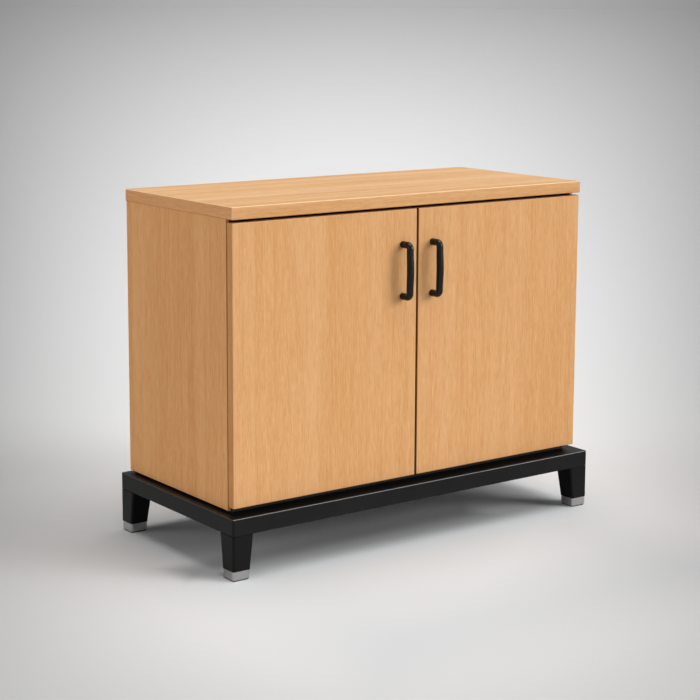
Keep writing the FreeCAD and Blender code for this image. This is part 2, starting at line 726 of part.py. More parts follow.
def cup_screws():
    radius, height = HINGE_SCREW_HEAD
    face = DOOR_BACK + FLANGE_THICKNESS
    solids = []
    for sign in (-1, 1):
        start = V(cup_centre() - EAR_OFFSET, face, sign * EAR_SPACING / 2)
        shank = rod(HINGE_SCREW_RADIUS, start, start.sub(V(0, HINGE_SCREW_LENGTH, 0)))
        head = rod(radius, start, start.add(V(0, height, 0)))
        solids.append(fuse_all([shank, head]))
    return solids


def at_height(shape, height):
    moved = shape.copy()
    moved.translate(V(0, 0, height))
    return moved


def at_hinges(shapes, side):
    """Copies of one hinge's shapes at both hinge heights of one door."""
    return [mirrored(at_height(shape, height), side)
            for height in HINGE_HEIGHTS.values() for shape in shapes]


# ---------------------------------------------------------------- base
def rail_ring():
    """The four rails in one piece: a closed tube bent round the frame."""
    z_range = (RAIL_BOTTOM, RAIL_TOP)
    outer_x = (-FRAME_HALF, FRAME_HALF)
    outer_y = (FRAME_FRONT, FRAME_BACK)
    solid = box(outer_x, outer_y, z_range)
    posts = [edge for edge in solid.Edges if abs(edge.Vertexes[0].Z - edge.Vertexes[1].Z) > RAIL_HEIGHT / 2]
    solid = solid.makeFillet(RAIL_CORNER, posts)
    brim = [edge for edge in solid.Edges if edge.BoundBox.ZLength < RAIL_ARRIS
            and edge.BoundBox.ZMax > RAIL_TOP - RAIL_ARRIS]
    solid = solid.makeFillet(RAIL_ARRIS, brim)

    def loop(inset, z_low, z_high):
        outside = box((outer_x[0] + inset, outer_x[1] - inset),
                      (outer_y[0] + inset, outer_y[1] - inset), (z_low, z_high))
        return outside

    solid = solid.cut(loop(RAIL_WIDTH, RAIL_BOTTOM, RAIL_TOP))
    cavity = loop(RAIL_WALL, RAIL_BOTTOM + RAIL_WALL, RAIL_TOP - RAIL_WALL)
    cavity = cavity.cut(loop(RAIL_WIDTH - RAIL_WALL, RAIL_BOTTOM, RAIL_TOP))
    return solid.cut(cavity)


def mitre_wedge(name):
    """Prism that keeps one rail of the ring, bounded by its two mitres."""
    reach = RAIL_WIDTH
    corners = {
        "front_rail": [(-1, -1), (1, -1)],
        "rear_rail": [(1, 1), (-1, 1)],
        "left_rail": [(-1, 1), (-1, -1)],
        "right_rail": [(1, -1), (1, 1)],
    }[name]
    outline = []
    for x_sign, y_sign in corners:
        y_edge = FRAME_BACK if y_sign > 0 else FRAME_FRONT
        outline.append(V(x_sign * FRAME_HALF, y_edge, RAIL_BOTTOM))
    for x_sign, y_sign in reversed(corners):
        y_edge = FRAME_BACK if y_sign > 0 else FRAME_FRONT
        outline.append(V(x_sign * (FRAME_HALF - reach), y_edge - y_sign * reach, RAIL_BOTTOM))
    return Part.Face(Part.makePolygon(outline + outline[:1])).extrude(V(0, 0, RAIL_HEIGHT))


def leg_axis(corner):
    x, y, x_in, y_in = corner
    return x + x_in * LEG_BOTTOM / 2, y + y_in * LEG_BOTTOM / 2


def rails():
    ring = rail_ring()
    holes = []
    for corner in leg_corners().values():
        x, y = leg_axis(corner)
        holes.append(upright(LEG_BOLT_RADIUS + BOLT_CLEARANCE, x, y, (RAIL_BOTTOM, RAIL_BOTTOM + RAIL_WALL)))
    ring = cut_all(ring, holes)
    names = ("front_rail", "rear_rail", "left_rail", "right_rail")
    return {name: ring.common(mitre_wedge(name)) for name in names}


def cross_rails():
    y_range = (FRAME_FRONT + RAIL_WIDTH, FRAME_BACK - RAIL_WIDTH)
    z_range = (RAIL_TOP - CROSS_RAIL_HEIGHT, RAIL_TOP)
    half = CROSS_RAIL_WIDTH / 2
    solids = []
    for centre in (-CROSS_RAIL_OFFSET, CROSS_RAIL_OFFSET):
        tube = box((centre - half, centre + half), y_range, z_range)
        bore = box((centre - half + RAIL_WALL, centre + half - RAIL_WALL), y_range,
                   (z_range[0] + RAIL_WALL, z_range[1] - RAIL_WALL))
        holes = [upright(BASE_BOLT_RADIUS + BOLT_CLEARANCE, x, y, z_range)
                 for x, y in base_bolt_places() if x == centre]
        solids.append(cut_all(tube.cut(bore), holes))
    return solids


def spacer_blocks():
    length, width = SPACER_SIZE
    z_range = (RAIL_TOP, FLOOR_UNDER)
    solids = []
    for x, y in base_bolt_places():
        block = box((x - length / 2, x + length / 2), (y - width / 2, y + width / 2), z_range)
        solids.append(block.cut(upright(BASE_BOLT_RADIUS + BOLT_CLEARANCE, x, y, z_range)))
    return solids


def plinth_strips():
    """Strips that close the gap between frame and cabinet, set back from the cabinet's faces."""
    front, back = CARCASS_FRONT + PLINTH_SETBACK, CARCASS_BACK - PLINTH_SETBACK
    side = box((INNER_HALF, INNER_HALF + PLINTH_THICKNESS), (front, back), (RAIL_TOP, SIDE_BOTTOM))
    strips = both_sides(side)
    for y_range in ((front, front + PLINTH_THICKNESS), (back - PLINTH_THICKNESS, back)):
        strips.append(box((-INNER_HALF, INNER_HALF), y_range, (RAIL_TOP, FLOOR_UNDER)))
    return strips


def base_bolts():
    radius, height = BASE_BOLT_HEAD
    under = RAIL_TOP - CROSS_RAIL_HEIGHT
    solids = []
    for x, y in base_bolt_places():
        shank = upright(BASE_BOLT_RADIUS, x, y, (under, FLOOR_UNDER + BASE_BOLT_RISE))
        head = upright(radius, x, y, (under - height, under))
        solids.append(fuse_all([shank, head]))
    return solids


def square_at(corner, size, radius, z, inset=0.0):
    """Rounded square whose outer corner follows the leg's outer corner."""
    x, y, x_in, y_in = corner
    xs = sorted((x + x_in * inset, x + x_in * (size - inset)))
    ys = sorted((y + y_in * inset, y + y_in * (size - inset)))
    return rounded_outline(xs, ys, radius, z)


def tapered(corner, z_range, sizes, radius, inset=0.0):
    low = square_at(corner, sizes[0], radius, z_range[0], inset)
    high = square_at(corner, sizes[1], radius, z_range[1], inset)
    return Part.makeLoft([low, high], True, True)


def leg(corner):
    """Hollow leg: upright outer faces, inner faces that taper to the foot."""
    groove_z = RAIL_BOTTOM - LEG_GROOVE
    taper = (LEG_TOP - LEG_BOTTOM) / LEG_HEIGHT
    body = tapered(corner, (LEG_FOOT, groove_z), (LEG_BOTTOM, LEG_TOP - taper * LEG_GROOVE), LEG_CORNER)
    neck = tapered(corner, (groove_z, RAIL_BOTTOM), (LEG_TOP, LEG_TOP), LEG_CORNER, LEG_GROOVE)
    crown = RAIL_BOTTOM - LEG_CROWN
    hollow = tapered(corner, (LEG_FOOT, crown), (LEG_BOTTOM, LEG_TOP - taper * LEG_CROWN),
                     LEG_CORNER - LEG_GROOVE, LEG_WALL)
    x, y = leg_axis(corner)
    hole = upright(LEG_BOLT_RADIUS + BOLT_CLEARANCE, x, y, (crown, RAIL_BOTTOM))
    return cut_all(fuse_all([body, neck]), [hollow, hole])


def cap_block(corner, z_range, inset, radius):
    outline = square_at(corner, LEG_BOTTOM, radius, z_range[0], inset)
    return Part.Face(outline).extrude(V(0, 0, z_range[1] - z_range[0]))


def leg_cap(corner):
    """Pressed square ferrule, closed below, with a hole for the glide's stem."""
    shell = cap_block(corner, (CAP_BOTTOM, LEG_FOOT), CAP_INSET, CAP_CORNER)
    sole = [edge for edge in shell.Edges if edge.BoundBox.ZMax < CAP_BOTTOM + CAP_ROUND / 2]
    shell = shell.makeFillet(CAP_ROUND, sole)
    inside = cap_block(corner, (CAP_BOTTOM + CAP_WALL, LEG_FOOT), CAP_INSET + CAP_WALL, CAP_CORNER - CAP_WALL)
    x, y = leg_axis(corner)
    stem = upright(GLIDE_STEM[0] + STEM_CLEARANCE, x, y, (CAP_BOTTOM, LEG_FOOT))
    return cut_all(shell, [inside, stem])


def leg_plug(corner):
    """Nylon block inside the leg's foot, which holds the cap and the glide."""
    inset = LEG_WALL + PLUG_CLEARANCE
    radius = LEG_CORNER - LEG_GROOVE
    plug = cap_block(corner, (CAP_BOTTOM + CAP_WALL, LEG_FOOT + PLUG_RISE), inset, radius)
    x, y = leg_axis(corner)
    bottom = CAP_BOTTOM + CAP_WALL
    stem = upright(GLIDE_STEM[0] + STEM_CLEARANCE, x, y, (bottom, bottom + GLIDE_STEM[1]))
    return plug.cut(stem)


def glide(corner):
    pad = cap_block(corner, (0.0, GLIDE_HEIGHT), CAP_INSET + GLIDE_INSET, CAP_CORNER - GLIDE_INSET / 2)
    x, y = leg_axis(corner)
    stem = upright(GLIDE_STEM[0], x, y, (GLIDE_HEIGHT, GLIDE_HEIGHT + GLIDE_STEM[1]))
    return fuse_all([pad, stem])


def leg_bolt(corner):
    """Bolt through the leg's crown, with its nut above the rail's lower wall."""
    x, y = leg_axis(corner)
    head_radius, head_height = LEG_BOLT_HEAD
    nut_radius, nut_height = LEG_BOLT_NUT
    crown = RAIL_BOTTOM - LEG_CROWN
    nut_base = RAIL_BOTTOM + RAIL_WALL
    shank = upright(LEG_BOLT_RADIUS, x, y, (crown, nut_base + nut_height))
    head = upright(head_radius, x, y, (crown - head_height, crown))
    nut = upright(nut_radius, x, y, (nut_base, nut_base + nut_height))
    return fuse_all([shank, head, nut])


# ---------------------------------------------------------------- build
def build_carcass():
    core, band = top_panel()
    save("top_panel", core)
    save("top_edge_band", band)
    for name, side in SIDES.items():
        save(name + "_side_panel", mirrored(side_panel(), side))
    save("bottom_panel", bottom_panel())
    save("back_panel", back_panel())
    front, back = stretcher_depths()
    save("top_front_stretcher", stretcher(front))
    save("top_rear_stretcher", stretcher(back))
    board, board_band = shelf()
    save("shelf", board)
    save("shelf_edge_band", board_band)
    save("carcass_edge_bands", *carcass_bands())
    save("shelf_pins", *shelf_pins())
    save("carcass_dowels", *dowels())
    save("top_fixing_screws", *top_screws())


def build_doors():
    core, band = door()
    for name, side in SIDES.items():
        save(name + "_door", mirrored(core, side))
        save(name + "_door_edge_band", mirrored(band, side))
        save(name + "_handle", mirrored(handle(), side))
        save(name + "_handle_screws", *[mirrored(screw, side) for screw in handle_screws()])
        save(name + "_door_bumpers", *[mirrored(bumper, side) for bumper in bumpers()])


def build_hinges():
    cup, hollow = hinge_cup()
    cup_group = [cup] + cup_pins(hollow)
    arm_group = [hinge_arm(), arm_pin()]
    plates = []
    fixings = []
    settings = []
    for name, side in SIDES.items():
        for level, height in HINGE_HEIGHTS.items():
            prefix = name + "_" + level + "_hinge_"
            save(prefix + "cup", *[mirrored(at_height(piece, height), side) for piece in cup_group])
            save(prefix + "arm", *[mirrored(at_height(piece, height), side) for piece in arm_group])
        save(name + "_outer_links", *at_hinges(outer_link(), side))
        save(name + "_inner_links", *at_hinges([inner_link()], side))
        save(name + "_cup_screws", *at_hinges(cup_screws(), side))
        plates.extend(at_hinges([mounting_plate()], side))
        fixings.extend(at_hinges(plate_screws(), side))
        settings.extend(at_hinges(arm_screws(), side))
    save("hinge_mounting_plates", *plates)
    save("hinge_plate_screws", *fixings)
    save("hinge_arm_screws", *settings)


def build_base():
    for name, rail in rails().items():
        save("base_" + name, rail)
    save("base_cross_rails", *cross_rails())
    save("base_spacer_blocks", *spacer_blocks())
    save("base_plinth_strips", *plinth_strips())
    save("base_bolts", *base_bolts())
    corners = leg_corners()
    for name, corner in corners.items():
        save(name + "_leg", leg(corner))
        save(name + "_leg_cap", leg_cap(corner))
    save("leg_plugs", *[leg_plug(corner) for corner in corners.values()])
    save("leg_glides", *[glide(corner) for corner in corners.values()])
    save("leg_bolts", *[leg_bolt(corner) for corner in corners.values()])


os.makedirs("parts", exist_ok=True)
build_carcass()
build_doors()
build_hinges()
build_base()
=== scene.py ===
import bpy
import math
from mathutils import Matrix, Vector


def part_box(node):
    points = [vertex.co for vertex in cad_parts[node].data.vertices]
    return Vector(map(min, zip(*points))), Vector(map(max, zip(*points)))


# Looks of the two-door office credenza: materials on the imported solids, a pale
# studio and the camera.  Metres, +Z up, the doors face -Y.

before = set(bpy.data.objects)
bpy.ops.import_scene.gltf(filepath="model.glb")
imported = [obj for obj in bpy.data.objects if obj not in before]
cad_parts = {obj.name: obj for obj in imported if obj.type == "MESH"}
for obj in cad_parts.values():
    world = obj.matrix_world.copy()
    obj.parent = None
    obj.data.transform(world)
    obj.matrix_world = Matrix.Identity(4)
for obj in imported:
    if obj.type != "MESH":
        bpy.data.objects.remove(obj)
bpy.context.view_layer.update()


# ---------------------------------------------------------------- node graphs
class Graph:
    """A node tree under construction, with short calls for the usual nodes."""

    def __init__(self, tree):
        self.tree = tree

    @classmethod
    def fresh(cls, tree):
        tree.nodes.clear()
        return cls(tree)

    def add(self, kind, settings=None, **inputs):
        node = self.tree.nodes.new(kind)
        for key, value in (settings or {}).items():
            setattr(node, key, value)
        for key, value in inputs.items():
            self.feed(node, key.replace("_", " "), value)
        return node

    def feed(self, node, key, value):
        socket = node.inputs[key]
        if isinstance(value, bpy.types.NodeSocket):
            self.tree.links.new(value, socket)
        else:
            socket.default_value = value

    def coordinate(self, kind):
        return self.add("ShaderNodeTexCoord").outputs[kind]

    def parts(self, vector):
        """The components of a vector, by axis letter."""
        return self.add("ShaderNodeSeparateXYZ", Vector=vector).outputs

    def math(self, operation, first, second=0.0, third=0.0):
        node = self.add("ShaderNodeMath", {"operation": operation})
        for index, value in enumerate((first, second, third)):
            self.feed(node, index, value)
        return node.outputs[0]

    def vector(self, operation, first, second):
        node = self.add("ShaderNodeVectorMath", {"operation": operation})
        self.feed(node, 0, first)
        self.feed(node, 1, second)
        return node.outputs["Value" if operation == "DOT_PRODUCT" else "Vector"]

    def swing(self, factor, weight, base):
        """The base, moved up or down by the weight times the factor's distance from a half."""
        return self.math("MULTIPLY_ADD", self.math("SUBTRACT", factor, 0.5), weight, base)

    def stretched(self, vector, scale, turn=(0.0, 0.0, 0.0), shift=(0.0, 0.0, 0.0)):
        node = self.add("ShaderNodeMapping", Vector=vector)
        node.inputs["Scale"].default_value = scale
        node.inputs["Rotation"].default_value = turn
        node.inputs["Location"].default_value = shift
        return node.outputs["Vector"]

    def noise(self, vector, detail=2.0, roughness=0.5):
        node = self.add("ShaderNodeTexNoise", Vector=vector, Scale=1.0, Detail=detail,
                        Roughness=roughness)
        return node.outputs["Fac"]

    def ramp(self, factor, low, high, low_value=0.0, high_value=1.0, shape="SMOOTHSTEP"):
        node = self.add("ShaderNodeMapRange", {"interpolation_type": shape})
        for index, value in enumerate((factor, low, high, low_value, high_value)):
            self.feed(node, index, value)
        return node.outputs[0]

    def mix(self, factor, first, second):
        node = self.add("ShaderNodeMix", {"data_type": "RGBA"})
        self.feed(node, 0, factor)
        self.feed(node, 6, first)
        self.feed(node, 7, second)
        return node.outputs[2]

    def mix_vector(self, factor, first, second):
        node = self.add("ShaderNodeMix", {"data_type": "VECTOR"})
        self.feed(node, 0, factor)
        self.feed(node, 4, first)
        self.feed(node, 5, second)
        return node.outputs[1]


def linear(red, green, blue):
    """Scene-linear colour of an sRGB triple in 0 to 255."""
    values = []
    for channel in (red, green, blue):
        share = channel / 255
        values.append(share / 12.92 if share <= 0.04045 else ((share + 0.055) / 1.055) ** 2.4)
    return (*values, 1.0)


def scaled(colour, *factors):
    return tuple(value * factor for value, factor in zip(colour, factors)) + (1.0,)


def grey(level):
    return (level, level, level, 1.0)


def new_material(name):
    material = bpy.data.materials.new(name)
    material.use_nodes = True
    graph = Graph.fresh(material.node_tree)
    surface = graph.add("ShaderNodeBsdfPrincipled")
    output = graph.add("ShaderNodeOutputMaterial")
    graph.tree.links.new(surface.outputs[0], output.inputs["Surface"])
    return material, graph, surface


def speckle(graph, place, cells, detail=2.0, roughness=0.5):
    """Noise with the same number of cells per metre in all directions."""
    return graph.noise(graph.stretched(place, (cells, cells, cells)), detail, roughness)


def varied(graph, factor, low, high, roughness, below, above):
    """Roughness that runs from "below" under to "above" over its mean as the factor rises."""
    return graph.ramp(factor, low, high, roughness - below, roughness + above)


def bumped(graph, surface, height, strength, distance):
    node = graph.add("ShaderNodeBump", Height=height, Strength=strength, Distance=distance)
    graph.feed(surface, "Normal", node.outputs["Normal"])


# ---------------------------------------------------------------- directions of a surface
UP = (0.0, 0.0, 1.0)
DOWN = (0.0, 0.0, -1.0)

# Shares of a surface's direction that lie along an axis: more than FLAT on a face across it,
# less than ARRIS_BEGINS along all three on a rounded edge, and from LOOKING_BEGINS to
# LOOKING_FULL where the surface turns a given way.
FLAT = 0.7
ARRIS_BEGINS, ARRIS_FULL = 0.985, 0.86
LOOKING_BEGINS, LOOKING_FULL = 0.1, 0.25

# The edges where the doors meet, which get painted shade, lie less than this from the middle plane.
MEETING_REACH = 0.02
# The carcass bands are black between the sides, up to this far past the cabinet's floor: black painted as
# shade in the gaps behind and under the doors.
BLACK_LAP = 0.012


def facing(graph, axis):
    """One where the surface looks along the axis, zero elsewhere."""
    normal = graph.parts(graph.coordinate("Normal"))
    return graph.math("GREATER_THAN", graph.math("ABSOLUTE", normal[axis]), FLAT)


def arris(graph):
    """One on the rounded edges of a board, zero on its flat faces."""
    normal = graph.parts(graph.coordinate("Normal"))
    flats = [graph.math("ABSOLUTE", normal[axis]) for axis in ("X", "Y", "Z")]
    largest = graph.math("MAXIMUM", graph.math("MAXIMUM", flats[0], flats[1]), flats[2])
    return graph.ramp(largest, ARRIS_BEGINS, ARRIS_FULL)


def looking(graph, way):
    """One where the surface looks partly or wholly the given way, zero elsewhere."""
    along_way = graph.vector("DOT_PRODUCT", graph.coordinate("Normal"), way)
    return graph.ramp(along_way, LOOKING_BEGINS, LOOKING_FULL)


def within(graph, reach):
    """One where the place is less than the reach from the middle plane."""
    place = graph.parts(graph.coordinate("Object"))
    return graph.math("LESS_THAN", graph.math("ABSOLUTE", place["X"]), reach)


def underside(graph):
    """One where the surface looks down, zero elsewhere."""
    height = graph.vector("DOT_PRODUCT", graph.coordinate("Normal"), UP)
    return graph.math("LESS_THAN", height, -FLAT)


def between_sides(graph):
    """One between the cabinet's sides and just past its floor's ends, zero elsewhere."""
    return within(graph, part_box("bottom_panel")[1][0] + BLACK_LAP)


# ---------------------------------------------------------------- wood
WOOD = linear(222, 166, 109)[:3]
WOOD_DARK = scaled(WOOD, 0.905, 0.82, 0.70)
WOOD_LIGHT = scaled(WOOD, 1.07, 1.16, 1.32)
WOOD_PORE = scaled(WOOD, 0.72, 0.58, 0.44)
WOOD_GLINT = scaled(WOOD, 1.24, 1.46, 1.80)
# Painted highlight colour of the laminate's rounded edges.
WOOD_ARRIS_HIGHLIGHT = scaled(WOOD, 1.18, 1.68, 2.45)
WOOD_IOR = 1.45
# Black painted as shade: in the gaps behind and under the doors, and under the cabinet's floor.
SHADE_BLACK = linear(20, 16, 13)
PLAIN = (1.0, 1.0, 1.0)
# Painted shade on rounded edges that look down and on the edges where the doors meet.
SHADED = (0.62, 0.50, 0.40)

# Width of a veneer leaf, and the share of it where it starts to blend into the next.
LEAF = 0.085
LEAF_BLEND = 0.93
LEAF_WEIGHT = 0.22
SEED_LEAVES = 3.7
SEED_SHIFT = (1.37, 2.11, 0.73)

# Noise cells per metre across and along the grain, then the noise's detail and roughness.
GRAIN = {
    "bands": (30.0, 1.1, 2.0, 0.55),
    "streaks": (200.0, 7.0, 3.0, 0.62),
    "fibres": (440.0, 30.0, 2.0, 0.6),
    "flecks": (760.0, 60.0, 1.0, 0.5),
    "glints": (330.0, 34.0, 1.0, 0.5),
}
DRIFT_ACROSS, DRIFT_ALONG = 5.0, 2.6
DRIFT_REACH = 0.012
STREAK_WEIGHT = 1.25
FIBRE_WEIGHT = 1.5
TONE_LOW, MIDDLE_TONE, TONE_HIGH = 0.02, 0.5, 0.98
PORE_LOW, PORE_HIGH, PORE_SHARE = 0.58, 0.74, 0.30
GLINT_LOW, GLINT_HIGH, GLINT_SHARE = 0.60, 0.76, 0.30
FIBRE_RELIEF, PORE_RELIEF = 0.5, 0.8


def along(graph, axis):
    """Object coordinates with the grain's direction turned onto Z."""
    quarter = math.radians(90)
    turns = {"X": (0.0, quarter, 0.0), "Y": (quarter, 0.0, 0.0), "Z": (0.0, 0.0, 0.0)}
    return graph.stretched(graph.coordinate("Object"), (1.0, 1.0, 1.0), turns[axis])


def grain_path(graph, direction):
    """Grain along one axis, or round the edges of a flat ("ring") or an upright board ("hoop")."""
    if direction == "ring":
        return graph.mix_vector(facing(graph, "X"), along(graph, "X"), along(graph, "Y"))
    if direction == "hoop":
        return graph.mix_vector(facing(graph, "Z"), along(graph, "Z"), along(graph, "X"))
    return along(graph, direction)


def leaf_tones(graph, place, seed):
    """Slightly different tone of the veneer leaves that lie side by side."""
    parts = graph.parts(place)
    leaf = graph.math("DIVIDE", graph.math("ADD", parts["X"], parts["Y"]), LEAF)
    number = graph.math("ADD", graph.math("FLOOR", leaf), seed * SEED_LEAVES)
    tone, following = [
        graph.add("ShaderNodeTexWhiteNoise", {"noise_dimensions": "1D"}, W=leaf_number).outputs["Value"]
        for leaf_number in (number, graph.math("ADD", number, 1.0))]
    blend = graph.ramp(graph.math("FRACT", leaf), LEAF_BLEND, 1.0)
    return graph.math("MULTIPLY_ADD", graph.math("SUBTRACT", following, tone), blend, tone)


def swaying(graph, place, shift):
    """The place, moved a little to and fro across the grain."""
    slow = graph.stretched(place, (DRIFT_ACROSS, DRIFT_ACROSS, DRIFT_ALONG), shift=shift)
    drift = graph.noise(slow, detail=1.0)
    sway = graph.add("ShaderNodeCombineXYZ",
                     X=graph.math("MULTIPLY_ADD", drift, DRIFT_REACH, -DRIFT_REACH / 2))
    return graph.vector("ADD", place, sway.outputs[0])


def grain_layers(graph, place, shift):
    """The noises of the grain, by name."""
    return {
        kind: graph.noise(graph.stretched(place, (across, across, lengthwise), shift=shift), detail, rough)
        for kind, (across, lengthwise, detail, rough) in GRAIN.items()}


def veneer(graph, leaves, layers, pores, broad):
    """The laminate's own colour: leaves, bands, streaks and fibres, with pores and glints on them."""
    tone = graph.swing(leaves, LEAF_WEIGHT, MIDDLE_TONE)
    tone = graph.swing(layers["bands"], broad, tone)
    tone = graph.swing(layers["streaks"], STREAK_WEIGHT, tone)
    tone = graph.swing(layers["fibres"], FIBRE_WEIGHT, tone)
    glints = graph.ramp(layers["glints"], GLINT_LOW, GLINT_HIGH)
    body = graph.mix(graph.ramp(tone, TONE_LOW, TONE_HIGH, shape="LINEAR"), WOOD_DARK, WOOD_LIGHT)
    body = graph.mix(graph.math("MULTIPLY", pores, PORE_SHARE), body, WOOD_PORE)
    return graph.mix(graph.math("MULTIPLY", glints, GLINT_SHARE), body, WOOD_GLINT)


def paint_shading(graph, where, body, light_shade_tint):
    """The body, multiplied by a tint of painted light or shade where the mask is one."""
    return graph.mix(where, body, graph.vector("MULTIPLY", body, light_shade_tint))


def wood(name, direction, seed, light_shade_tint=PLAIN, ends=PLAIN, brim=PLAIN, black=None, polish=0.55,
         gloss=0.22, broad=0.85, edge=0.7):
    """Light beech laminate with its grain in one direction.

    The tint paints light or shade over the whole board, "ends" and "brim" on the faces that look along X
    and along Z, and "black" is the function that marks where black is painted as shade.  "broad" is the
    weight of the bands, and "edge" that of a painted highlight on the rounded edges, with painted shade
    where they look down.
    """
    material, graph, surface = new_material(name)
    shift = tuple(seed * step for step in SEED_SHIFT)
    place = swaying(graph, grain_path(graph, direction), shift)
    leaves = leaf_tones(graph, place, seed)
    layers = grain_layers(graph, place, shift)
    pores = graph.ramp(layers["flecks"], PORE_LOW, PORE_HIGH)

    # The tint paints light or shade over the whole board.
    body = graph.vector("MULTIPLY", veneer(graph, leaves, layers, pores, broad), light_shade_tint)
    # Painted highlight on the rounded edges, with painted shade where they look down.
    arris_light_shade = graph.mix(looking(graph, DOWN), WOOD_ARRIS_HIGHLIGHT, graph.vector("MULTIPLY", body, SHADED))
    body = graph.mix(graph.math("MULTIPLY", arris(graph), edge), body, arris_light_shade)
    # Painted light and shade on the faces that look along X: darker on the doors' bands, warmer on the top's
    # band.
    if ends != PLAIN:
        body = paint_shading(graph, facing(graph, "X"), body, ends)
    if direction == "hoop":
        # Painted shade on the edges where the doors meet.
        meeting_shade = graph.math("MULTIPLY", within(graph, MEETING_REACH), facing(graph, "X"))
        body = paint_shading(graph, meeting_shade, body, SHADED)
    # Painted shade on the faces that look along Z.
    if brim != PLAIN:
        body = paint_shading(graph, facing(graph, "Z"), body, brim)
    # Black painted as shade where the mask marks it.
    if black:
        body = graph.mix(black(graph), body, SHADE_BLACK)

    graph.feed(surface, "Base Color", body)
    graph.feed(surface, "Roughness",
               varied(graph, layers["streaks"], 0.25, 0.75, polish, below=0.04, above=0.05))
    surface.inputs["IOR"].default_value = WOOD_IOR
    surface.inputs["Specular IOR Level"].default_value = gloss
    relief = graph.math("SUBTRACT", graph.math("MULTIPLY", layers["fibres"], FIBRE_RELIEF),
                        graph.math("MULTIPLY", pores, PORE_RELIEF))
    bumped(graph, surface, relief, strength=0.10, distance=0.0002)
    return material


# ---------------------------------------------------------------- other finishes
# Noise cells per metre, and tones as shares of the finish's own colour.
COAT_CLOUD, PLATE_CLOUD, MOULD_CLOUD = 16.0, 40.0, 60.0
MOULD_GRAIN = 1800.0
BRUSHED_ACROSS, BRUSHED_ALONG = 2600.0, 50.0
COAT_DARKER = (0.8, 0.8, 0.84)
COAT_LIGHTER = (1.25, 1.25, 1.3)
MOULD_DARKER = (0.85, 0.85, 0.85)
BRUSHED_DULL = (0.88, 0.88, 0.88)
# Share by which the roughness drops on the rounded edges that carry the painted highlight.
ARRIS_SMOOTHER = 0.5


def black_coat(name, level, roughness, gloss, grain, arris_highlight=0.0):
    """Satin black coat with a fine orange peel, and a painted highlight of the given grey level on its upper
    rounded edges, which are made smoother.
    """
    material, graph, surface = new_material(name)
    place = graph.coordinate("Object")
    peel = speckle(graph, place, grain, detail=3.0, roughness=0.6)
    cloud = speckle(graph, place, COAT_CLOUD)
    black = (level, level, level)
    body = graph.mix(cloud, scaled(black, *COAT_DARKER), scaled(black, *COAT_LIGHTER))
    rough = varied(graph, cloud, 0.3, 0.7, roughness, below=0.03, above=0.04)
    # Painted highlight on the upper rounded edges, which are also made smoother.
    if arris_highlight:
        edge = graph.math("MULTIPLY", arris(graph), looking(graph, UP))
        body = graph.mix(edge, body, grey(arris_highlight))
        rough = graph.math("MULTIPLY_ADD", edge, -ARRIS_SMOOTHER * roughness, rough)
    graph.feed(surface, "Base Color", body)
    graph.feed(surface, "Roughness", rough)
    surface.inputs["Specular IOR Level"].default_value = gloss
    bumped(graph, surface, peel, strength=0.08, distance=0.0002)
    return material


def powder_black(part, level, gloss, arris_highlight):
    """The coat of the steel frame and its legs."""
    return black_coat("powder_black_" + part, level, roughness=0.36, gloss=gloss, grain=900.0, arris_highlight=arris_highlight)


def plated(name, colour, roughness, axis):
    """Nickel or zinc plating with fine brushing along one axis."""
    material, graph, surface = new_material(name)
    place = along(graph, axis)
    lines = graph.stretched(place, (BRUSHED_ACROSS, BRUSHED_ACROSS, BRUSHED_ALONG))
    brushing = graph.noise(lines, detail=3.0, roughness=0.65)
    cloud = speckle(graph, place, PLATE_CLOUD)
    body = graph.mix(brushing, scaled(colour, *BRUSHED_DULL), (*colour, 1.0))
    graph.feed(surface, "Base Color", body)
    surface.inputs["Metallic"].default_value = 1.0
    graph.feed(surface, "Roughness", varied(graph, cloud, 0.2, 0.8, roughness, below=0.04, above=0.05))
    bumped(graph, surface, brushing, strength=0.06, distance=0.0001)
    return material


def moulded(name, colour, roughness):
    """Moulded nylon or soft polymer with a fine matt grain."""
    material, graph, surface = new_material(name)
    place = graph.coordinate("Object")
    grain = speckle(graph, place, MOULD_GRAIN)
    cloud = speckle(graph, place, MOULD_CLOUD)
    body = graph.mix(cloud, scaled(colour, *MOULD_DARKER), (*colour, 1.0))
    graph.feed(surface, "Base Color", body)
    graph.feed(surface, "Roughness", varied(graph, grain, 0.2, 0.8, roughness, below=0.05, above=0.05))
    bumped(graph, surface, grain, strength=0.15, distance=0.0001)
    return material


# ---------------------------------------------------------------- dressing the nodes
def paint(material, *names):
    for name in names:
        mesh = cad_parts[name].data
        if not mesh.materials:
            mesh.materials.append(material)
        for index in range(len(mesh.materials)):
            mesh.materials[index] = material


def sides(suffix):
    return [side + "_" + suffix for side in ("left", "right")]


def corners(suffix):
    return [side + "_" + end + "_" + suffix for side in ("left", "right") for end in ("front", "rear")]


def hinges(suffix):
    return [side + "_" + level + "_hinge_" + suffix
            for side in ("left", "right") for level in ("upper", "lower")]


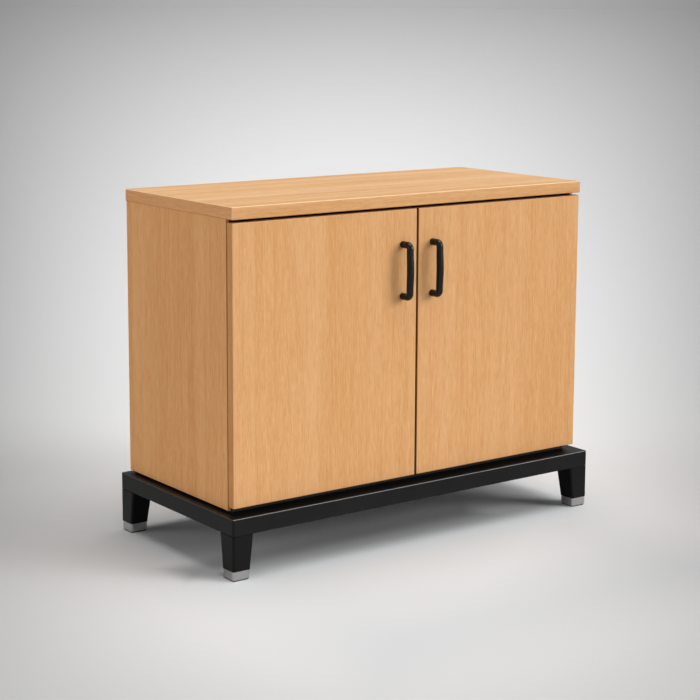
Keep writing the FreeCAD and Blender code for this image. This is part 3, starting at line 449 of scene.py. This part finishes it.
def dress_wood():
    # The top's tint pales and whitens it as a painted sheen; the top band's tint and end tones are painted
    # shade and light.
    paint(wood("laminate_top", "X", seed=1.0, light_shade_tint=(0.96, 1.07, 1.30), polish=0.66, gloss=0.10,
               broad=2.6), "top_panel")
    paint(wood("band_top", "ring", seed=2.0, light_shade_tint=(0.93, 0.90, 0.84), ends=(1.04, 0.98, 0.94),
               polish=0.40, gloss=0.3, edge=0.95), "top_edge_band")
    for index, side in enumerate(("left", "right")):
        paint(wood("laminate_door_" + side, "Z", seed=3.0 + index), side + "_door")
        # Painted shade on the doors' bands: on their side faces, more on their tops and bottoms, most where
        # the doors meet.
        paint(wood("band_door_" + side, "hoop", seed=5.0 + index, ends=(0.80, 0.70, 0.60),
                   brim=(0.5, 0.42, 0.34), polish=0.6, gloss=0.12, edge=0.4), side + "_door_edge_band")
        # The side panels' tint is a deeper, warmer painted shade.
        paint(wood("laminate_side_" + side, "Z", seed=7.0 + index, light_shade_tint=(1.0, 0.94, 0.87), gloss=0.15,
                   edge=0.5), side + "_side_panel")
    # Black painted as shade on the carcass bands between the sides and on the underside of the cabinet's
    # floor.
    paint(wood("band_carcass", "Z", seed=9.0, black=between_sides, gloss=0.05), "carcass_edge_bands")
    paint(wood("laminate_floor", "X", seed=10.0, black=underside), "bottom_panel")
    paint(wood("laminate_inside", "X", seed=10.5), "shelf", "shelf_edge_band", "top_front_stretcher",
          "top_rear_stretcher")
    paint(wood("laminate_back", "Z", seed=11.0), "back_panel")
    paint(wood("beech_dowel", "X", seed=12.0), "carcass_dowels")


def dress_black():
    # A painted highlight on the upper rounded edges of the frame and legs, brightest on the front rail.
    paint(powder_black("frame", level=0.002, gloss=0.20, arris_highlight=0.05),
          "base_rear_rail", "base_left_rail", "base_right_rail", "base_cross_rails")
    paint(powder_black("front", level=0.002, gloss=0.20, arris_highlight=0.22), "base_front_rail")
    paint(powder_black("leg", level=0.0015, gloss=0.16, arris_highlight=0.09), *corners("leg"))
    paint(black_coat("satin_black_pull", level=0.0005, roughness=0.21, gloss=0.35, grain=1300.0),
          *sides("handle"))
    paint(moulded("black_spacer", (0.006, 0.006, 0.006), roughness=0.7),
          "base_spacer_blocks", "base_plinth_strips")
    paint(moulded("black_nylon", (0.010, 0.010, 0.010), roughness=0.5), "leg_glides", "leg_plugs")


def dress_fittings():
    paint(moulded("bumper_polymer", (0.6, 0.6, 0.57), roughness=0.4), *sides("door_bumpers"))
    paint(plated("satin_nickel_cap", (0.48, 0.47, 0.46), roughness=0.20, axis="Z"), *corners("leg_cap"))
    paint(plated("nickel_hinge", (0.74, 0.72, 0.69), roughness=0.24, axis="Y"), *hinges("cup"),
          *hinges("arm"), *sides("outer_links"), *sides("inner_links"), "hinge_mounting_plates")
    paint(plated("zinc_fixings", (0.66, 0.66, 0.67), roughness=0.3, axis="Y"), *sides("cup_screws"),
          *sides("handle_screws"), "hinge_plate_screws", "hinge_arm_screws", "shelf_pins",
          "top_fixing_screws", "base_bolts", "leg_bolts")


# ---------------------------------------------------------------- stage
# The studio's light lies in a pool about the photograph's line of sight.  The pool
# is fixed in the room: it is painted on the floor and the backdrop, and other views
# see the same floor and backdrop.
VIEW_YAW = 0.63531
BEHIND = (math.sin(VIEW_YAW), math.cos(VIEW_YAW), 0.0)
ACROSS = (math.cos(VIEW_YAW), -math.sin(VIEW_YAW), 0.0)
# Depth of the object's middle along that line, and the least depth that counts.
MIDDLE_DEPTH = 3.81
LEAST_DEPTH = 2.7

# Brightness along the middle of the pool, and how fast it falls off to the sides,
# as polynomials of the nearness (one over the depth), lowest power first.
POOL_CORE = (0.468, 6.38, -21.5, 15.9)
POOL_FALL = (0.3925, 1.168, -4.42)

# The slope of a place is its distance to the side over its depth.  The pool falls off with the
# square of the slope over POOL_SPREAD, which stops at POOL_REACH, and levels out a little
# there.  From POOL_INSIDE to POOL_OUTSIDE it gives way to PLAIN_LEVEL.
POOL_SPREAD = 0.19
POOL_REACH = 1.7
POOL_LEVELLING = 0.036
POOL_OUTSIDE, POOL_INSIDE = 0.42, 0.24
BRIGHTEST = 0.84
PLAIN_LEVEL = 0.55

# FLOOR_LIGHT is what the lamps and the fill give a level white surface.
FLOOR_RADIUS = 400.0
FLOOR_SIDES = 128
FLOOR_ROUGHNESS = 0.9
FLOOR_LIGHT = 1.165

# Two soft rectangles of painted shade on the floor: a darker painted shadow below the cabinet, and a cooler,
# slightly darker one before it.  Each fades in from its OUTSIDE distance to its INSIDE one.
UNDER_MIDDLE, UNDER_HALF = (-0.15, -0.11), (0.36, 0.015)
UNDER_OUTSIDE, UNDER_INSIDE, UNDER_LEVEL = 0.06, -0.015, 0.62
FRONT_MIDDLE, FRONT_HALF = (-0.05, -0.50), (0.36, 0.16)
FRONT_OUTSIDE, FRONT_INSIDE = 0.28, -0.04
FRONT_SHADE = (0.85, 0.875, 0.895, 1.0)

WHITE = grey(1.0)
WORLD_FILL = 0.17
WORLD_AHEAD_LEAST = 0.2
SUN_DISTANCE = 6.0


def curve(graph, value, factors):
    """Polynomial of a value, lowest power first."""
    total = factors[-1]
    for factor in reversed(factors[:-1]):
        total = graph.math("MULTIPLY_ADD", value, total, factor)
    return total


def pool(graph, nearness, slope):
    """Brightness of the studio: a soft pool that dims towards the sides and the distance."""
    side = graph.math("DIVIDE", slope, POOL_SPREAD)
    side = graph.math("MINIMUM", graph.math("MULTIPLY", side, side), POOL_REACH)
    core = curve(graph, nearness, POOL_CORE)
    fall = curve(graph, nearness, POOL_FALL)
    fade = graph.math("MULTIPLY_ADD", graph.math("MULTIPLY", side, side), POOL_LEVELLING, 1.0)
    fade = graph.math("SUBTRACT", fade, graph.math("MULTIPLY", fall, side))
    level = graph.math("MINIMUM", graph.math("MULTIPLY", core, fade), BRIGHTEST)
    inside = graph.ramp(graph.math("ABSOLUTE", slope), POOL_OUTSIDE, POOL_INSIDE)
    return graph.math("MULTIPLY_ADD", graph.math("SUBTRACT", level, PLAIN_LEVEL), inside, PLAIN_LEVEL)


def beyond(graph, place, middle, half):
    """Distance outside a rectangle on the floor that lies along X and Y, negative within it."""
    parts = graph.parts(place)
    gaps = []
    for axis, centre, reach in zip(("X", "Y"), middle, half):
        offset = graph.math("ABSOLUTE", graph.math("SUBTRACT", parts[axis], centre))
        gaps.append(graph.math("SUBTRACT", offset, reach))
    return graph.math("MAXIMUM", gaps[0], gaps[1])


def make_floor():
    """Pale floor that runs to the horizon, with the painted pool of light, a painted shadow below the
    cabinet and a cooler painted shade before it.
    """
    bpy.ops.mesh.primitive_circle_add(vertices=FLOOR_SIDES, radius=FLOOR_RADIUS, fill_type="NGON")
    floor = bpy.context.object
    floor.name = "stage_floor"
    material, graph, surface = new_material("stage_floor")
    place = graph.coordinate("Object")
    depth = graph.math("ADD", graph.vector("DOT_PRODUCT", place, BEHIND), MIDDLE_DEPTH)
    nearness = graph.math("DIVIDE", 1.0, graph.math("MAXIMUM", depth, LEAST_DEPTH))
    slope = graph.math("MULTIPLY", graph.vector("DOT_PRODUCT", place, ACROSS), nearness)
    level = graph.math("DIVIDE", pool(graph, nearness, slope), FLOOR_LIGHT)
    # Painted shadow below the cabinet.
    under_shadow = graph.ramp(beyond(graph, place, UNDER_MIDDLE, UNDER_HALF), UNDER_OUTSIDE, UNDER_INSIDE,
                       1.0, UNDER_LEVEL)
    # Cooler, slightly darker painted shade before the cabinet.
    front = graph.ramp(beyond(graph, place, FRONT_MIDDLE, FRONT_HALF), FRONT_OUTSIDE, FRONT_INSIDE)
    level = graph.math("MULTIPLY", level, under_shadow)
    graph.feed(surface, "Base Color", graph.vector("MULTIPLY", graph.mix(front, WHITE, FRONT_SHADE), level))
    surface.inputs["Roughness"].default_value = FLOOR_ROUGHNESS
    surface.inputs["Specular IOR Level"].default_value = 0.0
    floor.data.materials.append(material)


def hang(name, data, place, towards):
    """Lamp at a place that shines the given way."""
    lamp = bpy.data.objects.new(name, data)
    lamp.location = place
    lamp.rotation_euler = towards.to_track_quat("-Z", "Y").to_euler()
    bpy.context.collection.objects.link(lamp)
    return lamp


def sun(name, direction, angle, level):
    """Distant soft lamp; a level of 1 lights a facing surface to its own colour."""
    data = bpy.data.lights.new(name, "SUN")
    data.energy = math.pi * level
    data.angle = angle
    hang(name, data, Vector(direction) * SUN_DISTANCE, -Vector(direction))


def strip(name, place, aim, width, height, power):
    """Upright strip lamp that gives the round black parts a soft streak."""
    data = bpy.data.lights.new(name, "AREA")
    data.shape = "RECTANGLE"
    data.size = width
    data.size_y = height
    data.energy = power
    hang(name, data, place, Vector(aim) - Vector(place)).visible_camera = False


def make_world():
    """Even fill for the shading; the camera and reflections see the pool as the backdrop."""
    world = bpy.data.worlds.new("studio")
    bpy.context.scene.world = world
    world.use_nodes = True
    graph = Graph.fresh(world.node_tree)
    path = graph.add("ShaderNodeLightPath").outputs
    look = graph.coordinate("Generated")
    ahead = graph.math("ABSOLUTE", graph.vector("DOT_PRODUCT", look, BEHIND))
    slope = graph.math("DIVIDE", graph.vector("DOT_PRODUCT", look, ACROSS),
                       graph.math("MAXIMUM", ahead, WORLD_AHEAD_LEAST))
    fill = graph.add("ShaderNodeBackground", Color=WHITE, Strength=WORLD_FILL)
    seen = graph.add("ShaderNodeBackground", Color=WHITE, Strength=pool(graph, 0.0, slope))
    shown = graph.math("MAXIMUM", path["Is Camera Ray"], path["Is Glossy Ray"])
    shown = graph.math("MAXIMUM", shown, path["Is Transmission Ray"])
    mix = graph.add("ShaderNodeMixShader")
    for index, value in enumerate((shown, fill.outputs[0], seen.outputs[0])):
        graph.feed(mix, index, value)
    output = graph.add("ShaderNodeOutputWorld")
    graph.tree.links.new(mix.outputs[0], output.inputs["Surface"])


def make_light():
    sun("key", direction=(0.620, -0.670, 0.409), angle=0.52, level=0.52)
    sun("key_low", direction=(0.690, -0.713, 0.06), angle=0.52, level=0.14)
    sun("overhead", direction=(0.15, -0.10, 0.984), angle=0.90, level=0.68)
    strip("front", place=(0.55, -2.60, 1.25), aim=(0.0, -0.20, 1.25), width=0.45, height=2.4, power=6.8)
    sun("rim", direction=(-0.93, 0.33, 0.14), angle=0.80, level=0.43)


# ---------------------------------------------------------------- camera
# The camera's place is measured from the middle of the top's front edge, on the floor.
CAMERA_FROM_TOP_FRONT = (-2.281709, -2.856678, 1.124396)
CAMERA_PITCH = 0.154686
CAMERA_ROLL = 0.004238
CAMERA_LENS = 91.467
CAMERA_SENSOR = 36.0
CAMERA_SHIFT = -0.1
CAMERA_SIGHT = 1000.0


def make_camera():
    top_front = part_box("top_edge_band")[0][1]
    level, drop = math.cos(CAMERA_PITCH), math.sin(CAMERA_PITCH)
    forward = Vector((BEHIND[0] * level, BEHIND[1] * level, -drop))
    right = Vector(ACROSS)
    up = right.cross(forward)
    right, up = (right * math.cos(CAMERA_ROLL) + up * math.sin(CAMERA_ROLL),
                 up * math.cos(CAMERA_ROLL) - right * math.sin(CAMERA_ROLL))
    data = bpy.data.cameras.new("camera")
    data.sensor_width = CAMERA_SENSOR
    data.lens = CAMERA_LENS
    data.shift_y = CAMERA_SHIFT
    data.clip_end = CAMERA_SIGHT
    camera = bpy.data.objects.new("camera", data)
    place = Vector(CAMERA_FROM_TOP_FRONT) + Vector((0.0, top_front, 0.0))
    turn = Matrix((right, up, -forward)).transposed().to_4x4()
    camera.matrix_world = Matrix.Translation(place) @ turn
    bpy.context.collection.objects.link(camera)
    bpy.context.scene.camera = camera


dress_wood()
dress_black()
dress_fittings()
make_floor()
make_world()
make_light()
make_camera()
bpy.context.scene.view_settings.view_transform = "Standard"
